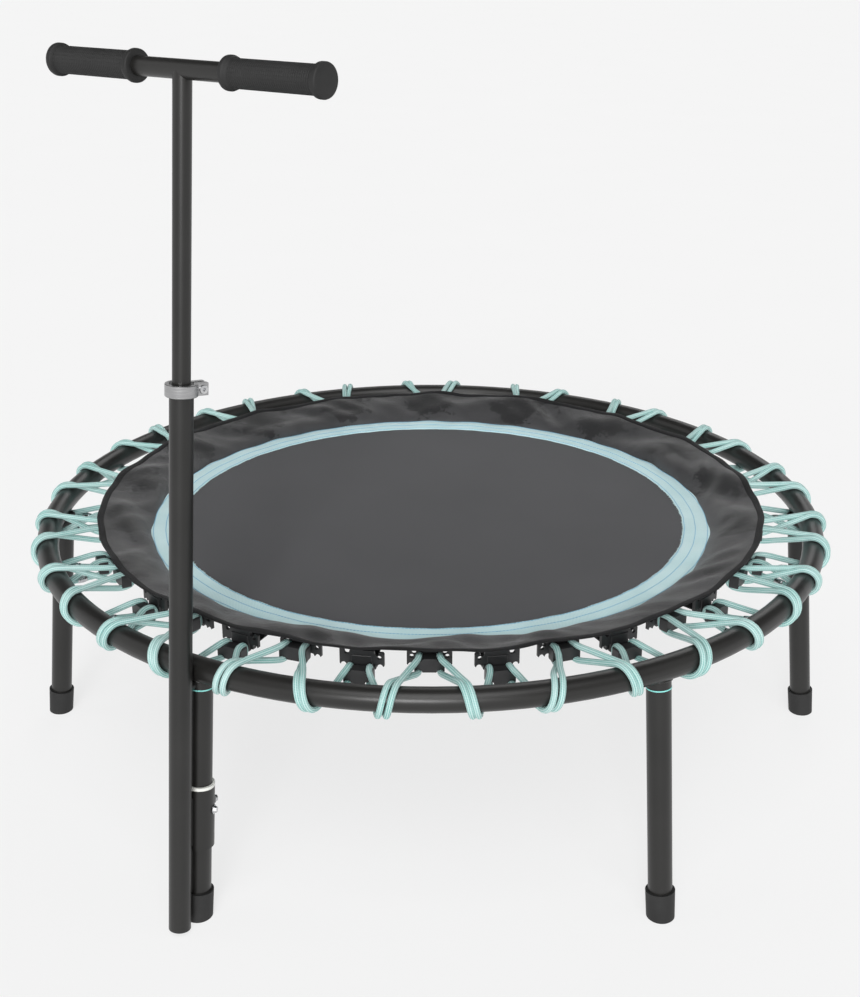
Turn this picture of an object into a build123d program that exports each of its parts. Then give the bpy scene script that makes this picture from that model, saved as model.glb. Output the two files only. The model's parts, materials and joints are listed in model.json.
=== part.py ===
"""Mini trampoline on bungee loops, with a T-bar handle. Millimetres, +Z up.

The origin is on the floor under the centre of the ring. The handle stands at -Y,
outside the front leg, and its crossbar runs roughly along X. Six legs carry the
ring and spread a little towards the floor. The mat hangs inside the ring on 36
bungee loops, each hooked to two neighbouring clips and laid round the ring.
"""
from build123d import *
from math import acos, atan2, ceil, cos, degrees, hypot, radians, sin, tan
import os

os.makedirs("parts", exist_ok=True)

# ring and legs
RING_RADIUS = 505.0            # centreline of the ring tube
RING_HEIGHT = 310.0            # centreline above the floor
TUBE_RADIUS = 14.0             # ring and leg tube
TUBE_WALL = 1.5
LEG_COUNT = 6
FIRST_LEG = -90.0              # the leg that carries the handle
LEG_SPLAY = 6.0                # degrees from upright, feet outwards
LEG_FLOOR_RADIUS = 530.5       # leg axis at the floor
LEG_BOTTOM = 5.0               # end of the leg tube above the floor
SOCKET_DROP = 23.5             # socket mouth below the ring's centreline
SOCKET_TOP_DROP = 7.0          # top of the welded socket below the centreline
SPACER_THICKNESS = 1.5
STUD_RADIUS = 5.0
STUD_IN_SOCKET = 3.0
STUD_IN_LEG = 22.0
INSERT_LENGTH = 16.0
FOOT_HEIGHT = 35.0
FOOT_RADIUS = 16.2             # at the floor
FOOT_TAPER = -1.2              # degrees, wider upwards
FOOT_CHAMFER = 1.0
SPACER_RADIUS = 14.4
CLEARANCE = 0.05               # between pieces pressed or screwed together

# handle
POLE_RADIUS = 12.5             # lower tube
POLE_WALL = 1.3
POLE_RING_GAP = 0.6            # lower tube to the ring
POLE_BOTTOM = 3.0              # along the pole, from its foot point
POLE_TOP = 630.0
BAR_TUBE_RADIUS = 9.5          # sliding tube and crossbar
BAR_TUBE_WALL = 1.5
BAR_HEIGHT = 935.0             # crossbar axis along the pole
INSERTED_LENGTH = 245.0        # sliding tube inside the lower tube
GLIDE_LENGTH = 25.0
RUNNING_CLEARANCE = 0.08
BAR_TURN = -8.0                # degrees the crossbar stands off square
BAR_HALF_LENGTH = 178.0
GRIP_START = 62.0              # inner end of a grip from the pole axis
GRIP_CAP = 4.5
GRIP_RADIUS = 13.8
GRIP_FLANGE_RADIUS = 16.4
GRIP_STEP_RADIUS = 15.0

# clamp collar
COLLAR_BOTTOM = 618.5
COLLAR_HEIGHT = 13.0
COLLAR_RADIUS = 17.0
EAR_REACH = 26.5
EAR_WIDTH = 15.0
EAR_SLOT = 3.0
EAR_TURN = 65.0                # degrees, direction of the ears
COLLAR_CHAMFER = 0.6
CLAMP_BOLT_RADIUS = 2.5
CLAMP_BOLT_REACH = 21.0

# sleeve that holds the handle to the front leg
SLEEVE_BOTTOM = 93.0
SLEEVE_TOP = 170.5
SLEEVE_INNER = 14.9
SLEEVE_OUTER = 16.9
LINER_FLANGE = 3.5
SCREW_RADIUS = 2.5
SCREW_PLACES = [(17.0, 139.0), (60.0, 146.0)]   # degrees round the leg, height
BOSS_RISE = 5.5                # boss axis above the socket mouth
BOSS_RADIUS = 5.0
BOSS_BOLT_RADIUS = 2.0
BOLT_HEAD_HEIGHT = 3.0

# mat, webbing and skirt
MAT_TOP = RING_HEIGHT - 4.0
MAT_RADIUS = 371.5
MAT_THICKNESS = 2.0
WEBBING_INNER = 338.0
WEBBING_OUTER = 372.0
WEBBING_THICKNESS = 1.4
SKIRT_INNER = 364.0
SKIRT_OUTER = 437.0
SKIRT_THICKNESS = 1.5
HEM_RISE = 27.0                # hem above the mat's top
HEM_WIDTH = 3.5
HEM_HEIGHT = 4.0
HEM_ROUNDING = 1.2

# clips and bungee loops
CLIP_COUNT = 18
CLIP_STEP = 360.0 / CLIP_COUNT
UPPER_RADIUS = 434.0
UPPER_HEIGHT = 314.0
LOWER_RADIUS = 442.0
LOWER_HEIGHT = 301.0
CLIP_BAR = (12.0, 33.0, 16.0)  # along the radius, round the ring, up
CLIP_PLATE = (4.0, 50.0, 18.0)
CLIP_NECK = (9.0, 13.0, 8.0)
UPPER_PLATE_RISE = -1.0        # plate's middle above the bar's middle
LOWER_PLATE_RISE = 12.0
NOTCH_DEPTH = 3.0
NOTCH_WIDTH = 8.0
NOTCH_PLACE = 11.5             # from the clip's middle
EAR_HOLE_RADIUS = 2.6
EAR_HOLE_PLACE = (19.5, 3.0)   # from the plate's middle
SCALLOP_RADIUS = 3.2
SCALLOP_PLACES = (13.5, 20.5)
POST_WIDTH = 5.0
POST_HEIGHT = 3.0
TUNNEL = (6.0, 30.0, 6.0)
TUNNEL_WALL = 0.5              # play round the strap
STRAP_WIDTH = 24.0
STRAP_THICKNESS = 1.6
STRAP_START = 352.0
CORD_RADIUS = 3.6
CORD_SPACING = 8.0             # the two strands of a loop, side by side
CORD_GAP = 0.6                 # cord surface to the ring tube
CORD_BEND = 14.0
CORD_SLANT = 4.5               # sideways, each way, where a strand crosses the tube
HOOK_OUT = 2.0                 # strand's end in front of the clip's bar
HOOK_OVER = 1.0                # strand above or below the bar
LOOP_GROUPS = 6
CRIMP_RADIUS = 4.6
CRIMP_LENGTH = 7.0
CRIMP_PLACE = 24.0             # from the lower clip along the strand

splay = radians(LEG_SPLAY)
socket_mouth = (RING_HEIGHT - SOCKET_DROP) / cos(splay)
leg_top = socket_mouth - SPACER_THICKNESS
leg_ring_radius = LEG_FLOOR_RADIUS - RING_HEIGHT * tan(splay)
pole_ring_radius = RING_RADIUS + TUBE_RADIUS + POLE_RADIUS + POLE_RING_GAP
pole_offset = (pole_ring_radius - leg_ring_radius) * cos(splay)
leg_angles = [FIRST_LEG + 360.0 / LEG_COUNT * k for k in range(LEG_COUNT)]


def save(piece, name):
    """Label a finished piece and write its STEP file."""
    piece.part.label = name
    export_step(piece.part, f"parts/{name}.step")


def polar(angle, radius, height=0.0):
    """A point given by its angle, radius and height."""
    return Vector(radius * cos(radians(angle)), radius * sin(radians(angle)), height)


def leg_plane(angle, along=0.0, outward=0.0):
    """A plane square to a leg: X runs round the ring, Y inwards, Z up the leg."""
    across = Vector(-sin(radians(angle)), cos(radians(angle)), 0)
    upward = Vector(-sin(splay) * cos(radians(angle)), -sin(splay) * sin(radians(angle)), cos(splay))
    inward = upward.cross(across)
    origin = polar(angle, LEG_FLOOR_RADIUS) + upward * along - inward * outward
    return Plane(origin=origin, x_dir=across, z_dir=upward)


def pole_plane(along):
    """A plane square to the handle's pole."""
    return leg_plane(FIRST_LEG, along, pole_offset)


def tube(plane, outer, inner, length):
    """A tube, or a rod where inner is 0, up from a plane."""
    with BuildPart() as piece:
        with BuildSketch(plane):
            Circle(outer)
            if inner > 0:
                Circle(inner, mode=Mode.SUBTRACT)
        extrude(amount=length)
    return piece


def side_plane(plane, turn, reach=0.0):
    """A plane facing away from another plane's Z axis, turned about it."""
    away = plane.x_dir * cos(radians(turn)) + plane.y_dir * sin(radians(turn))
    return Plane(origin=plane.origin + away * reach, x_dir=plane.z_dir, z_dir=away)


# --- ring -------------------------------------------------------------------
with BuildPart() as ring_bar:
    with BuildSketch(Plane.XZ):
        with Locations((RING_RADIUS, RING_HEIGHT)):
            Circle(TUBE_RADIUS)
    revolve(axis=Axis.Z)

with BuildPart() as frame_ring:
    with BuildSketch(Plane.XZ):
        with Locations((RING_RADIUS, RING_HEIGHT)):
            Circle(TUBE_RADIUS)
            Circle(TUBE_RADIUS - TUBE_WALL, mode=Mode.SUBTRACT)
    revolve(axis=Axis.Z)
save(frame_ring, "frame_ring")

# --- legs, feet and what joins them to the ring -------------------------------
boss_height = socket_mouth + BOSS_RISE
boss_side = side_plane(leg_plane(FIRST_LEG, boss_height), -90)

for number, angle in enumerate(leg_angles, start=1):
    with BuildPart() as leg_socket:
        with BuildSketch(leg_plane(angle, socket_mouth)):
            Circle(TUBE_RADIUS)
        extrude(amount=SOCKET_DROP)
        with BuildSketch(leg_plane(angle, socket_mouth)):
            Circle(STUD_RADIUS + CLEARANCE)
        extrude(amount=STUD_IN_SOCKET, mode=Mode.SUBTRACT)
        if angle == FIRST_LEG:
            with BuildSketch(boss_side):
                Circle(BOSS_BOLT_RADIUS + CLEARANCE)
            extrude(amount=2 * TUBE_RADIUS, both=True, mode=Mode.SUBTRACT)
        split(bisect_by=Plane.XY.offset(RING_HEIGHT - SOCKET_TOP_DROP), keep=Keep.BOTTOM)
        add(ring_bar.part, mode=Mode.SUBTRACT)
    save(leg_socket, f"leg_socket_{number}")

    leg = tube(leg_plane(angle, LEG_BOTTOM), TUBE_RADIUS, TUBE_RADIUS - TUBE_WALL, leg_top - LEG_BOTTOM)
    save(leg, f"leg_{number}")

    with BuildPart() as foot:
        with BuildSketch(leg_plane(angle, -LEG_BOTTOM)):
            Circle(FOOT_RADIUS)
        extrude(amount=FOOT_HEIGHT + LEG_BOTTOM, taper=FOOT_TAPER)
        with BuildSketch(leg_plane(angle, LEG_BOTTOM)):
            Circle(TUBE_RADIUS + CLEARANCE)
        extrude(amount=FOOT_HEIGHT, mode=Mode.SUBTRACT)
        split(bisect_by=Plane.XY, keep=Keep.TOP)
        chamfer(foot.faces().sort_by(Axis.Z)[0].edges(), FOOT_CHAMFER)
    save(foot, f"foot_{number}")

with BuildPart() as leg_inserts:
    for angle in leg_angles:
        with BuildSketch(leg_plane(angle, leg_top - INSERT_LENGTH)):
            Circle(TUBE_RADIUS - TUBE_WALL - CLEARANCE)
            Circle(STUD_RADIUS + CLEARANCE, mode=Mode.SUBTRACT)
        extrude(amount=INSERT_LENGTH)
save(leg_inserts, "leg_inserts")

with BuildPart() as leg_studs:
    for angle in leg_angles:
        with BuildSketch(leg_plane(angle, socket_mouth - STUD_IN_LEG)):
            Circle(STUD_RADIUS)
        extrude(amount=STUD_IN_LEG + STUD_IN_SOCKET)
save(leg_studs, "leg_studs")

with BuildPart() as spacer_rings:
    for angle in leg_angles:
        with BuildSketch(leg_plane(angle, leg_top)):
            Circle(SPACER_RADIUS)
            Circle(STUD_RADIUS + CLEARANCE, mode=Mode.SUBTRACT)
        extrude(amount=SPACER_THICKNESS)
save(spacer_rings, "spacer_rings")

# --- lower pole and what holds it to the front leg ----------------------------
pole_bore = POLE_RADIUS - POLE_WALL
slit_length = 40.0
slit_width = 3.0
with BuildPart() as handle_lower_tube:
    with BuildSketch(pole_plane(POLE_BOTTOM)):
        Circle(POLE_RADIUS)
        Circle(pole_bore, mode=Mode.SUBTRACT)
    extrude(amount=POLE_TOP - POLE_BOTTOM)
    with BuildSketch(side_plane(pole_plane(POLE_TOP), EAR_TURN)):
        Rectangle(2 * slit_length, slit_width)
    extrude(amount=POLE_RADIUS + 1, mode=Mode.SUBTRACT)
save(handle_lower_tube, "handle_lower_tube")

plug_length = 12.0
plug_lip = 1.5
with BuildPart() as pole_plug:
    with BuildSketch(pole_plane(POLE_BOTTOM - plug_lip)):
        Circle(POLE_RADIUS)
    extrude(amount=plug_lip)
    with BuildSketch(pole_plane(POLE_BOTTOM)):
        Circle(pole_bore - CLEARANCE)
    extrude(amount=plug_length)
save(pole_plug, "pole_plug")

pole_bar = tube(pole_plane(0), POLE_RADIUS, 0, POLE_TOP)
front_leg_bar = tube(leg_plane(FIRST_LEG, SLEEVE_BOTTOM), SLEEVE_OUTER, 0, SLEEVE_TOP - SLEEVE_BOTTOM)

with BuildPart() as leg_sleeve:
    with BuildSketch(leg_plane(FIRST_LEG, SLEEVE_BOTTOM)):
        Circle(SLEEVE_OUTER)
        Circle(SLEEVE_INNER, mode=Mode.SUBTRACT)
    extrude(amount=SLEEVE_TOP - LINER_FLANGE - SLEEVE_BOTTOM)
    for turn, height in SCREW_PLACES:
        with BuildSketch(side_plane(leg_plane(FIRST_LEG, height), turn)):
            Circle(SCREW_RADIUS + CLEARANCE)
        extrude(amount=2 * SLEEVE_OUTER, mode=Mode.SUBTRACT)
save(leg_sleeve, "leg_sleeve")

with BuildPart() as sleeve_liner:
    with BuildSketch(leg_plane(FIRST_LEG, SLEEVE_BOTTOM)):
        Circle(SLEEVE_INNER - CLEARANCE)
        Circle(TUBE_RADIUS + CLEARANCE, mode=Mode.SUBTRACT)
    extrude(amount=SLEEVE_TOP - SLEEVE_BOTTOM)
    with BuildSketch(leg_plane(FIRST_LEG, SLEEVE_TOP - LINER_FLANGE)):
        Circle(SLEEVE_OUTER)
        Circle(TUBE_RADIUS + CLEARANCE, mode=Mode.SUBTRACT)
    extrude(amount=LINER_FLANGE)
    for turn, height in SCREW_PLACES:
        with BuildSketch(side_plane(leg_plane(FIRST_LEG, height), turn)):
            Circle(SCREW_RADIUS + CLEARANCE)
        extrude(amount=2 * SLEEVE_OUTER, mode=Mode.SUBTRACT)
save(sleeve_liner, "sleeve_liner")

screw_head_radius = 4.4
screw_head_height = 3.0
screw_head_taper = 18
washer_radius = 5.4
washer_thickness = 0.8
washer_seat = SLEEVE_OUTER
screw_tip = TUBE_RADIUS + CLEARANCE
with BuildPart() as sleeve_washers:
    for turn, height in SCREW_PLACES:
        with BuildSketch(side_plane(leg_plane(FIRST_LEG, height), turn, washer_seat)):
            Circle(washer_radius)
            Circle(SCREW_RADIUS + CLEARANCE, mode=Mode.SUBTRACT)
        extrude(amount=washer_thickness)
save(sleeve_washers, "sleeve_washers")

with BuildPart() as sleeve_screws:
    for turn, height in SCREW_PLACES:
        with BuildSketch(side_plane(leg_plane(FIRST_LEG, height), turn, screw_tip)):
            Circle(SCREW_RADIUS)
        extrude(amount=washer_seat + washer_thickness - screw_tip)
        with BuildSketch(side_plane(leg_plane(FIRST_LEG, height), turn, washer_seat + washer_thickness)):
            Circle(screw_head_radius)
        extrude(amount=screw_head_height, taper=screw_head_taper)
save(sleeve_screws, "sleeve_screws")

web_width = 8.0
web_margin = 6.0
with BuildPart() as sleeve_web:
    with BuildSketch(leg_plane(FIRST_LEG, SLEEVE_BOTTOM + web_margin)):
        with Locations((0, -pole_offset / 2)):
            Rectangle(web_width, pole_offset)
    extrude(amount=SLEEVE_TOP - SLEEVE_BOTTOM - 3 * web_margin)
    add(front_leg_bar.part, mode=Mode.SUBTRACT)
    add(pole_bar.part, mode=Mode.SUBTRACT)
save(sleeve_web, "sleeve_web")

bolt_in_boss = 5.0
socket_bar = tube(leg_plane(FIRST_LEG, leg_top), TUBE_RADIUS, 0, SOCKET_DROP)
with BuildPart() as pole_boss:
    with BuildSketch(boss_side):
        Circle(BOSS_RADIUS)
    extrude(amount=pole_offset)
    with BuildSketch(boss_side):
        Circle(BOSS_BOLT_RADIUS + CLEARANCE)
    extrude(amount=TUBE_RADIUS + bolt_in_boss, mode=Mode.SUBTRACT)
    add(socket_bar.part, mode=Mode.SUBTRACT)
    add(pole_bar.part, mode=Mode.SUBTRACT)
save(pole_boss, "pole_boss")

bolt_tip_gap = 1.0
with BuildPart() as boss_bolt:
    with BuildSketch(side_plane(leg_plane(FIRST_LEG, boss_height), -90, -TUBE_RADIUS - BOLT_HEAD_HEIGHT)):
        RegularPolygon(2 * BOSS_BOLT_RADIUS, 6)
    extrude(amount=BOLT_HEAD_HEIGHT)
    with BuildSketch(side_plane(leg_plane(FIRST_LEG, boss_height), -90, -TUBE_RADIUS)):
        Circle(BOSS_BOLT_RADIUS)
    extrude(amount=2 * TUBE_RADIUS + bolt_in_boss - bolt_tip_gap)
save(boss_bolt, "boss_bolt")

# --- clamp collar -------------------------------------------------------------
collar_plane = pole_plane(COLLAR_BOTTOM)
collar_middle = COLLAR_BOTTOM + COLLAR_HEIGHT / 2
ear_middle = side_plane(pole_plane(collar_middle), EAR_TURN, CLAMP_BOLT_REACH)
bolt_plane = Plane(origin=ear_middle.origin, x_dir=ear_middle.x_dir, z_dir=ear_middle.y_dir)
bolt_recess = 2.5
bolt_head_radius = 4.3
recess_radius = 4.6
bolt_head_seat = EAR_WIDTH / 2 - bolt_recess
ear_cut = EAR_REACH + 4

with BuildPart() as clamp_collar:
    with BuildSketch(collar_plane):
        Circle(COLLAR_RADIUS)
        with PolarLocations(EAR_REACH / 2, 1, start_angle=EAR_TURN):
            Rectangle(EAR_REACH, EAR_WIDTH)
        Circle(POLE_RADIUS + RUNNING_CLEARANCE, mode=Mode.SUBTRACT)
        with PolarLocations(ear_cut / 2, 1, start_angle=EAR_TURN):
            Rectangle(ear_cut, EAR_SLOT, mode=Mode.SUBTRACT)
    extrude(amount=COLLAR_HEIGHT)
    with BuildSketch(bolt_plane):
        Circle(CLAMP_BOLT_RADIUS + CLEARANCE)
    extrude(amount=EAR_WIDTH, both=True, mode=Mode.SUBTRACT)
    with BuildSketch(bolt_plane.offset(bolt_head_seat)):
        Circle(recess_radius)
    extrude(amount=2 * bolt_recess, mode=Mode.SUBTRACT)
    chamfer(clamp_collar.edges().filter_by(GeomType.CIRCLE).sort_by(SortBy.LENGTH)[-4:], COLLAR_CHAMFER)
save(clamp_collar, "clamp_collar")

key_radius = 2.0
key_depth = 2.0
bolt_head_length = 4.0
nut_radius = 4.6
nut_thickness = 3.2
bolt_end = 1.0
with BuildPart() as clamp_bolt:
    with BuildSketch(bolt_plane.offset(-EAR_WIDTH / 2 - nut_thickness - bolt_end)):
        Circle(CLAMP_BOLT_RADIUS)
    extrude(amount=EAR_WIDTH + nut_thickness + bolt_end - bolt_recess)
    with BuildSketch(bolt_plane.offset(bolt_head_seat)):
        Circle(bolt_head_radius)
    extrude(amount=bolt_head_length)
    with BuildSketch(bolt_plane.offset(bolt_head_seat + bolt_head_length - key_depth)):
        RegularPolygon(key_radius, 6)
    extrude(amount=key_depth, mode=Mode.SUBTRACT)
save(clamp_bolt, "clamp_bolt")

with BuildPart() as clamp_nut:
    with BuildSketch(bolt_plane.offset(-EAR_WIDTH / 2 - nut_thickness)):
        RegularPolygon(nut_radius, 6)
        Circle(CLAMP_BOLT_RADIUS + CLEARANCE, mode=Mode.SUBTRACT)
    extrude(amount=nut_thickness)
save(clamp_nut, "clamp_nut")

bush_length = 30.0
bush_flange = 1.3
with BuildPart() as pole_bush:
    with BuildSketch(pole_plane(POLE_TOP - bush_length)):
        Circle(pole_bore - CLEARANCE)
        Circle(BAR_TUBE_RADIUS + RUNNING_CLEARANCE, mode=Mode.SUBTRACT)
    extrude(amount=bush_length)
    with BuildSketch(pole_plane(POLE_TOP)):
        Circle(POLE_RADIUS - CLEARANCE)
        Circle(BAR_TUBE_RADIUS + RUNNING_CLEARANCE, mode=Mode.SUBTRACT)
    extrude(amount=bush_flange)
save(pole_bush, "pole_bush")

# --- sliding tube, crossbar and grips -------------------------------------------
bar_origin = pole_plane(BAR_HEIGHT)


def bar_plane(side, along):
    """A plane square to the crossbar, facing away from the pole on one side."""
    turn = BAR_TURN if side > 0 else BAR_TURN + 180
    return side_plane(bar_origin, turn, along)


crossbar_bar = tube(bar_plane(-1, -BAR_HALF_LENGTH), BAR_TUBE_RADIUS, 0, 2 * BAR_HALF_LENGTH)
crossbar = tube(
    bar_plane(-1, -BAR_HALF_LENGTH),
    BAR_TUBE_RADIUS,
    BAR_TUBE_RADIUS - BAR_TUBE_WALL,
    2 * BAR_HALF_LENGTH,
)
save(crossbar, "crossbar")

slide_bottom = POLE_TOP - INSERTED_LENGTH
with BuildPart() as handle_upper_tube:
    with BuildSketch(pole_plane(slide_bottom)):
        Circle(BAR_TUBE_RADIUS)
        Circle(BAR_TUBE_RADIUS - BAR_TUBE_WALL, mode=Mode.SUBTRACT)
    extrude(amount=BAR_HEIGHT - slide_bottom)
    add(crossbar_bar.part, mode=Mode.SUBTRACT)
save(handle_upper_tube, "handle_upper_tube")

glide_bush = tube(
    pole_plane(slide_bottom),
    pole_bore - RUNNING_CLEARANCE,
    BAR_TUBE_RADIUS + CLEARANCE,
    GLIDE_LENGTH,
)
save(glide_bush, "glide_bush")

grip_length = BAR_HALF_LENGTH - GRIP_START
flange_width = 6.0
step_width = 3.0
for side, name in ((-1, "grip_left"), (1, "grip_right")):
    with BuildPart() as grip:
        with BuildSketch(bar_plane(side, GRIP_START)):
            Circle(GRIP_RADIUS)
        extrude(amount=grip_length + GRIP_CAP)
        with BuildSketch(bar_plane(side, GRIP_START)):
            Circle(GRIP_FLANGE_RADIUS)
        extrude(amount=flange_width)
        with BuildSketch(bar_plane(side, GRIP_START + flange_width)):
            Circle(GRIP_STEP_RADIUS)
        extrude(amount=step_width)
        with BuildSketch(bar_plane(side, BAR_HALF_LENGTH + GRIP_CAP - flange_width)):
            Circle(GRIP_FLANGE_RADIUS)
        extrude(amount=flange_width)
        with BuildSketch(bar_plane(side, GRIP_START)):
            Circle(BAR_TUBE_RADIUS + CLEARANCE)
        extrude(amount=grip_length, mode=Mode.SUBTRACT)
    save(grip, name)

# --- mat, webbing, skirt and hem --------------------------------------------------
with BuildPart() as jump_mat:
    with BuildSketch(Plane.XY.offset(MAT_TOP - MAT_THICKNESS)):
        Circle(MAT_RADIUS)
    extrude(amount=MAT_THICKNESS)
save(jump_mat, "jump_mat")

with BuildPart() as mat_webbing:
    with BuildSketch(Plane.XY.offset(MAT_TOP)):
        Circle(WEBBING_OUTER)
        Circle(WEBBING_INNER, mode=Mode.SUBTRACT)
    extrude(amount=WEBBING_THICKNESS)
save(mat_webbing, "mat_webbing")

skirt_foot = MAT_TOP + WEBBING_THICKNESS
hem_height = MAT_TOP + HEM_RISE
with BuildPart() as skirt:
    with BuildSketch(Plane.XZ):
        with BuildLine():
            Polyline(
                (SKIRT_INNER, skirt_foot),
                (WEBBING_OUTER, skirt_foot),
                (SKIRT_OUTER, hem_height - SKIRT_THICKNESS),
                (SKIRT_OUTER, hem_height),
                (WEBBING_OUTER, skirt_foot + SKIRT_THICKNESS),
                (SKIRT_INNER, skirt_foot + SKIRT_THICKNESS),
                close=True,
            )
        make_face()
    revolve(axis=Axis.Z)
save(skirt, "skirt")

with BuildPart() as skirt_hem:
    with BuildSketch(Plane.XZ):
        with Locations((SKIRT_OUTER + HEM_WIDTH / 2, hem_height - SKIRT_THICKNESS / 2)):
            RectangleRounded(HEM_WIDTH, HEM_HEIGHT, HEM_ROUNDING)
    revolve(axis=Axis.Z)
save(skirt_hem, "skirt_hem")


# --- clips and their straps ---------------------------------------------------------
plate_place = -CLIP_BAR[0] / 2 - CLIP_NECK[0] - CLIP_PLATE[0] / 2
tunnel_place = plate_place - CLIP_PLATE[0] / 2 - TUNNEL[0] / 2
strap_slot = (2 * TUNNEL[0], STRAP_WIDTH + 2 * TUNNEL_WALL, STRAP_THICKNESS + 2 * TUNNEL_WALL)
cut_length = 2 * CLIP_PLATE[0]


def make_clip(plate_rise, post_side=0):
    """One clip about its bar's middle: X outwards, Y round the ring, Z up.

    The post takes the place of the ear hole on its side; with post_side 0 there is none.
    """
    plate_foot = min(plate_rise - CLIP_PLATE[2] / 2, -CLIP_NECK[2] / 2)
    neck_top = max(plate_rise, CLIP_NECK[2] / 2)
    with BuildPart() as clip:
        Box(*CLIP_BAR)
        with Locations((-CLIP_BAR[0] / 2 - CLIP_NECK[0] / 2, 0, 0)):
            Box(*CLIP_NECK)
        with Locations((plate_place, 0, (plate_foot + neck_top) / 2)):
            Box(CLIP_PLATE[0], TUNNEL[1], neck_top - plate_foot)
        with Locations((plate_place, 0, plate_rise)):
            Box(*CLIP_PLATE)
        with Locations((tunnel_place, 0, 0)):
            Box(*TUNNEL)
        with Locations((tunnel_place - TUNNEL[0] / 2, 0, 0)):
            Box(*strap_slot, mode=Mode.SUBTRACT)
        for side in (-1, 1):
            for level in (-1, 1):
                with Locations((0, side * NOTCH_PLACE, level * CLIP_BAR[2] / 2)):
                    Box(2 * CLIP_BAR[0], NOTCH_WIDTH, 2 * NOTCH_DEPTH, mode=Mode.SUBTRACT)
            ear = (plate_place, side * EAR_HOLE_PLACE[0], plate_rise + EAR_HOLE_PLACE[1])
            if side != post_side:
                with Locations(Location(ear, (0, 90, 0))):
                    Cylinder(EAR_HOLE_RADIUS, cut_length, mode=Mode.SUBTRACT)
            for place in SCALLOP_PLACES:
                scallop = (plate_place, side * place, plate_rise - CLIP_PLATE[2] / 2)
                with Locations(Location(scallop, (0, 90, 0))):
                    Cylinder(SCALLOP_RADIUS, cut_length, mode=Mode.SUBTRACT)
        if post_side:
            post_place = post_side * (CLIP_PLATE[1] - POST_WIDTH) / 2
            with Locations((plate_place, post_place, plate_rise + CLIP_PLATE[2] / 2)):
                Box(CLIP_PLATE[0], POST_WIDTH, 2 * POST_HEIGHT)
    return clip.part


def clip_place(angle, radius, height):
    """Where a clip's middle stands on the circle of clips."""
    return Plane(origin=polar(angle, radius, height), x_dir=polar(angle, 1), z_dir=(0, 0, 1)).location


upper_clip = make_clip(UPPER_PLATE_RISE)
lower_clip = make_clip(LOWER_PLATE_RISE, -1)
turned_clip = make_clip(LOWER_PLATE_RISE, 1)
for name, first, radius, height, patterns in (
    ("upper_clips", 0.0, UPPER_RADIUS, UPPER_HEIGHT, (upper_clip, upper_clip, upper_clip)),
    ("lower_clips", CLIP_STEP / 2, LOWER_RADIUS, LOWER_HEIGHT, (turned_clip, lower_clip, lower_clip)),
):
    with BuildPart() as clips:
        for step in range(CLIP_COUNT):
            pattern = patterns[step % len(patterns)]
            add(clip_place(first + CLIP_STEP * step, radius, height) * pattern)
    save(clips, name)

strap_top = MAT_TOP - MAT_THICKNESS
with BuildPart() as clip_straps:
    for first, radius, height in (
        (0.0, UPPER_RADIUS, UPPER_HEIGHT),
        (CLIP_STEP / 2, LOWER_RADIUS, LOWER_HEIGHT),
    ):
        strap_end = radius + tunnel_place + TUNNEL[0] / 2 - TUNNEL_WALL
        strap_near = radius + tunnel_place - TUNNEL[0]
        for step in range(CLIP_COUNT):
            angle = first + CLIP_STEP * step
            section = Plane(origin=(0, 0, 0), x_dir=polar(angle, 1), z_dir=polar(angle - 90, 1))
            with BuildSketch(section):
                with BuildLine():
                    Polyline(
                        (STRAP_START, strap_top),
                        (MAT_RADIUS, strap_top),
                        (strap_near, height + STRAP_THICKNESS / 2),
                        (strap_end, height + STRAP_THICKNESS / 2),
                        (strap_end, height - STRAP_THICKNESS / 2),
                        (strap_near, height - STRAP_THICKNESS / 2),
                        (MAT_RADIUS, strap_top - STRAP_THICKNESS),
                        (STRAP_START, strap_top - STRAP_THICKNESS),
                        close=True,
                    )
                make_face()
            extrude(amount=STRAP_WIDTH / 2, both=True)
save(clip_straps, "clip_straps")

# --- bungee loops and their crimps ------------------------------------------------------
wrap_radius = TUBE_RADIUS + CORD_GAP + CORD_RADIUS
hook_reach = CLIP_BAR[0] / 2 + HOOK_OUT
strand_rise = CLIP_BAR[2] / 2 + CORD_RADIUS + HOOK_OVER


def beside(angle, radius, height, shift):
    """A point by angle, radius and height, moved sideways round the ring."""
    across = Vector(-sin(radians(angle)), cos(radians(angle)), 0)
    return polar(angle, radius, height) + across * shift


def touch_angle(radius, height, above):
    """Where a straight run from a hook meets the circle round the ring tube."""
    reach = hypot(radius - RING_RADIUS, height - RING_HEIGHT)
    slope = degrees(atan2(height - RING_HEIGHT, radius - RING_RADIUS)) % 360
    opening = degrees(acos(wrap_radius / reach))
    return slope - opening if above else slope + opening - 360


def corner(angle, touch, shift):
    """The corner of a strand's route halfway to where it touches the tube."""
    reach = wrap_radius / cos(radians(touch / 2))
    radius = RING_RADIUS + reach * cos(radians(touch / 2))
    height = RING_HEIGHT + reach * sin(radians(touch / 2))
    return beside(angle, radius, height, shift)


def strand_route(wrap, side, strand):
    """Corners of one strand, from its upper clip over the ring to its lower clip."""
    upper = (UPPER_RADIUS + hook_reach, UPPER_HEIGHT + strand * strand_rise)
    lower = (LOWER_RADIUS + hook_reach, LOWER_HEIGHT + strand * strand_rise)
    shift = strand * CORD_SPACING / 2
    return [
        beside(wrap - side * CLIP_STEP / 4, *upper, side * NOTCH_PLACE),
        corner(wrap, touch_angle(*upper, True), shift - side * CORD_SLANT),
        corner(wrap, touch_angle(*lower, False), shift + side * CORD_SLANT),
        beside(wrap + side * CLIP_STEP / 4, *lower, -side * NOTCH_PLACE),
    ]


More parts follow.
